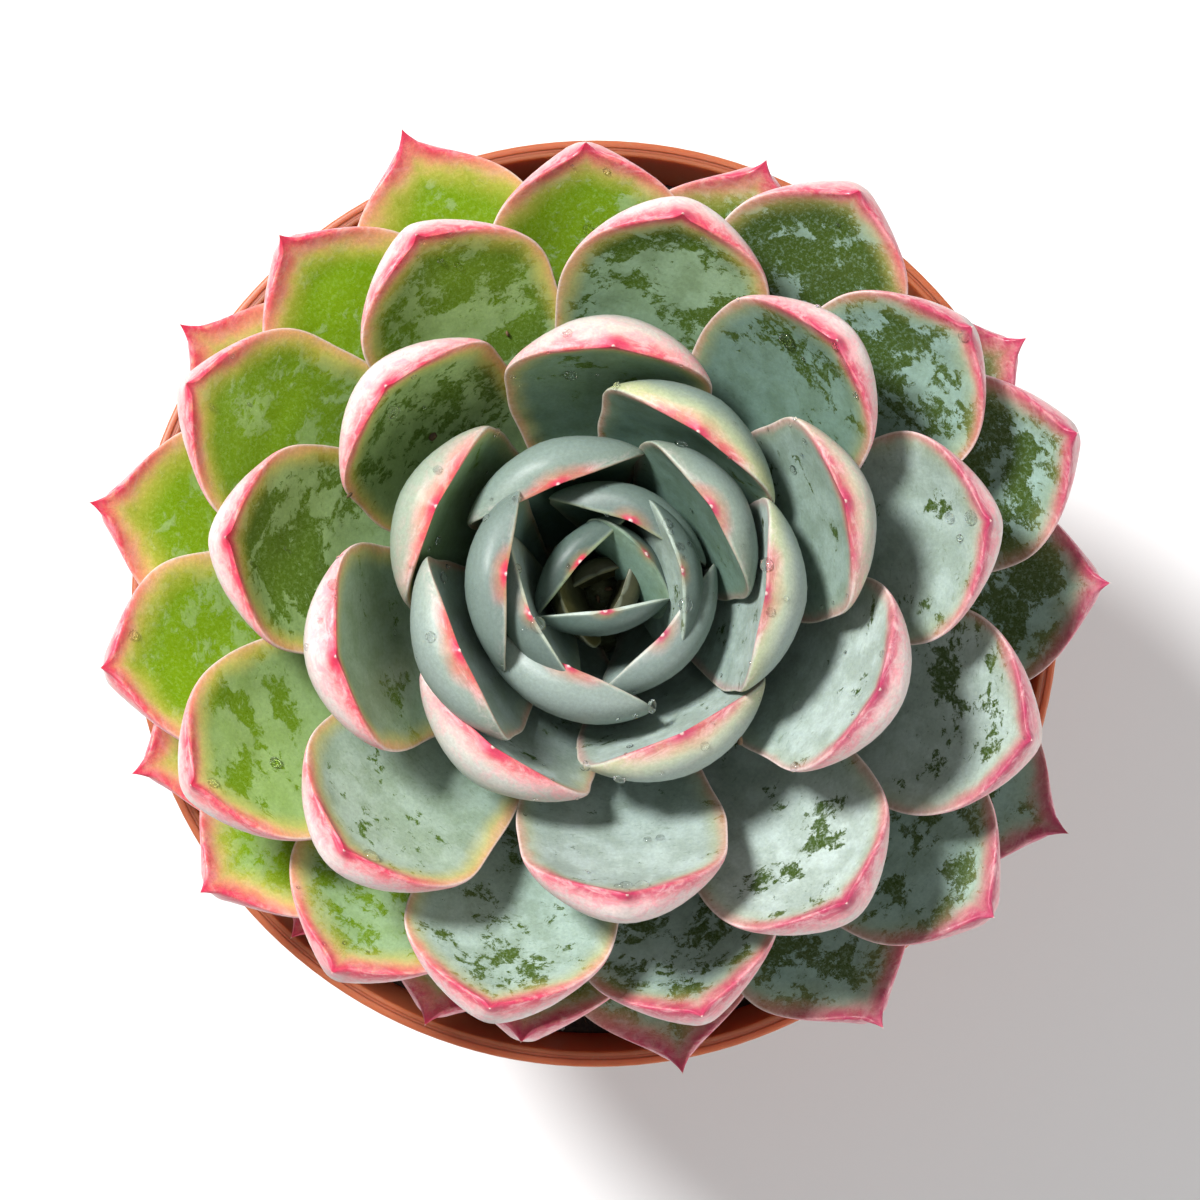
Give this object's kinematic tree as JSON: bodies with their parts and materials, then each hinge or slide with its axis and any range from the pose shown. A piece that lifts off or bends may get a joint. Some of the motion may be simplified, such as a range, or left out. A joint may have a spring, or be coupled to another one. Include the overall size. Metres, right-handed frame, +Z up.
{
  "type": "potted succulent",
  "caption": "Rosette succulent with thick cupped leaves in overlapping spirals, growing in a round tapered plastic pot of dark soil.",
  "frame": {"origin": "centre of the pot's flat underside, on the surface it stands on", "axes": "+Z up along the pot's axis; +X and +Y level, with no front: the rosette is alike all round"},
  "size_m": [0.1259, 0.12, 0.1401],
  "materials": {
    "pot_plastic": "satin moulded plastic in terracotta brown",
    "soil": "loose dark peat with pale grains",
    "stem": "dull pale green skin",
    "young_leaf": "waxy blue-grey bloom over green, pink margins",
    "old_leaf": "patchy waxy bloom over bright green, red margins and points"
  },
  "bodies": {
    "root": {"pot": "pot_plastic", "soil": "soil", "stem": "stem", "leaf_03": "young_leaf", "leaf_04": "young_leaf", "leaf_05": "young_leaf", "leaf_06": "young_leaf", "leaf_07": "young_leaf", "leaf_08": "young_leaf", "leaf_09": "young_leaf", "leaf_10": "young_leaf", "leaf_11": "young_leaf", "leaf_12": "young_leaf", "leaf_13": "young_leaf", "leaf_14": "young_leaf", "leaf_15": "young_leaf", "leaf_16": "young_leaf", "leaf_17": "young_leaf", "leaf_18": "young_leaf", "leaf_19": "young_leaf", "leaf_20": "young_leaf", "leaf_21": "young_leaf", "leaf_22": "young_leaf", "leaf_23": "young_leaf", "leaf_24": "old_leaf", "leaf_25": "old_leaf", "leaf_26": "old_leaf", "leaf_27": "old_leaf", "leaf_28": "old_leaf", "leaf_29": "old_leaf", "leaf_30": "old_leaf", "leaf_31": "old_leaf", "leaf_32": "old_leaf", "leaf_33": "old_leaf", "leaf_34": "old_leaf", "leaf_35": "old_leaf", "leaf_36": "old_leaf", "leaf_37": "old_leaf", "leaf_38": "old_leaf", "leaf_39": "old_leaf", "leaf_40": "old_leaf", "leaf_41": "old_leaf", "leaf_42": "old_leaf", "leaf_43": "old_leaf", "leaf_44": "old_leaf", "leaf_46": "old_leaf", "leaf_47": "old_leaf", "leaf_48": "old_leaf", "leaf_49": "old_leaf", "leaf_50": "old_leaf", "leaf_51": "old_leaf", "leaf_52": "old_leaf", "leaf_53": "old_leaf", "leaf_54": "old_leaf", "leaf_55": "old_leaf", "leaf_56": "old_leaf", "leaf_57": "old_leaf", "leaf_59": "old_leaf", "leaf_60": "old_leaf", "leaf_62": "old_leaf"}
  },
  "joints": []
}
